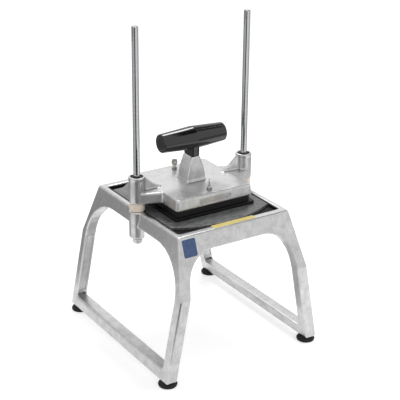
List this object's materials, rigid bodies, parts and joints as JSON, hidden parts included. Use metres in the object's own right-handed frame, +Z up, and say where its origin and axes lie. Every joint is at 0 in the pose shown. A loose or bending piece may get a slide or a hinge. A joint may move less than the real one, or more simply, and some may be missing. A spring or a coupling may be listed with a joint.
{
  "type": "table-top vegetable slicer",
  "caption": "Hand-worked vegetable slicer: a head with a T-grip slides down two rods and pushes food through crossed blades in a cast stand.",
  "frame": {"origin": "on the floor, midway between the four feet and under the middle of the blade opening", "axes": "+Z up along the guide rods, +X from the left rod to the right rod, -Y towards the front rail with the bowed edge of the deck"},
  "size_m": [0.2728, 0.293, 0.483],
  "materials": {
    "cast_aluminium": "as cast, tumbled",
    "ground_steel": "ground bright",
    "blade_steel": "ground",
    "plated_steel": "plated",
    "blade_frame_grey": "satin",
    "tray_black": "satin",
    "block_black": "matt",
    "grip_black": "polished",
    "foot_rubber": "matt",
    "bumper_rubber": "satin",
    "bushing_plastic": "satin"
  },
  "bodies": {
    "stand": {"stand_casting": "cast_aluminium", "foot_front_left": "foot_rubber", "foot_front_right": "foot_rubber", "foot_rear_left": "foot_rubber", "foot_rear_right": "foot_rubber", "foot_screw_front_left": "plated_steel", "foot_screw_front_right": "plated_steel", "foot_screw_rear_left": "plated_steel", "foot_screw_rear_right": "plated_steel", "guide_rod_left": "ground_steel", "guide_rod_right": "ground_steel", "bumper_left": "bumper_rubber", "bumper_right": "bumper_rubber", "insert_tray": "tray_black", "blade_frame": "blade_frame_grey", "blade_crosswise_1": "blade_steel", "blade_crosswise_2": "blade_steel", "blade_crosswise_3": "blade_steel", "blade_crosswise_4": "blade_steel", "blade_crosswise_5": "blade_steel", "blade_crosswise_6": "blade_steel", "blade_crosswise_7": "blade_steel", "blade_crosswise_8": "blade_steel", "blade_lengthwise_1": "blade_steel", "blade_lengthwise_2": "blade_steel", "blade_lengthwise_3": "blade_steel", "blade_lengthwise_4": "blade_steel", "blade_lengthwise_5": "blade_steel", "blade_lengthwise_6": "blade_steel", "blade_lengthwise_7": "blade_steel", "blade_lengthwise_8": "blade_steel", "blade_retainer": "tray_black", "retainer_screw_front_left": "plated_steel", "retainer_screw_front_right": "plated_steel", "retainer_screw_rear_left": "plated_steel", "retainer_screw_rear_right": "plated_steel"},
    "head": {"head_casting": "cast_aluminium", "upper_bushing_left": "bushing_plastic", "upper_bushing_right": "bushing_plastic", "lower_bushing_left": "bushing_plastic", "lower_bushing_right": "bushing_plastic", "grip": "grip_black", "grip_stud": "plated_steel", "pusher_block": "block_black", "block_insert_front": "plated_steel", "block_insert_rear": "plated_steel"},
    "front_washer": {"screw_washer_front": "plated_steel"},
    "rear_washer": {"screw_washer_rear": "plated_steel"},
    "front_thumb_screw": {"thumb_screw_front": "plated_steel"},
    "rear_thumb_screw": {"thumb_screw_rear": "plated_steel"}
  },
  "joints": [
    {"name": "head_slide", "type": "slide", "parent": "stand", "child": "head", "axis": [0, 0, 1], "range_m": [0, 0.195]},
    {"name": "front_screw_lift", "type": "slide", "parent": "head", "child": "front_washer", "axis": [0, 0, 1], "range_m": [0, 0.00635]},
    {"name": "front_screw_turn", "type": "hinge", "parent": "front_washer", "child": "front_thumb_screw", "pos_m": [0, -0.0475, 0.2427], "axis": [0, 0, 1], "range_deg": [0, 1800]},
    {"name": "rear_screw_lift", "type": "slide", "parent": "head", "child": "rear_washer", "axis": [0, 0, 1], "range_m": [0, 0.00635]},
    {"name": "rear_screw_turn", "type": "hinge", "parent": "rear_washer", "child": "rear_thumb_screw", "pos_m": [0, 0.0475, 0.2427], "axis": [0, 0, 1], "range_deg": [0, 1800]}
  ],
  "couplings": [
    {"joint": "front_screw_turn", "follows": "front_screw_lift", "rad_per_m": 4947.4},
    {"joint": "rear_screw_turn", "follows": "rear_screw_lift", "rad_per_m": 4947.4}
  ]
}
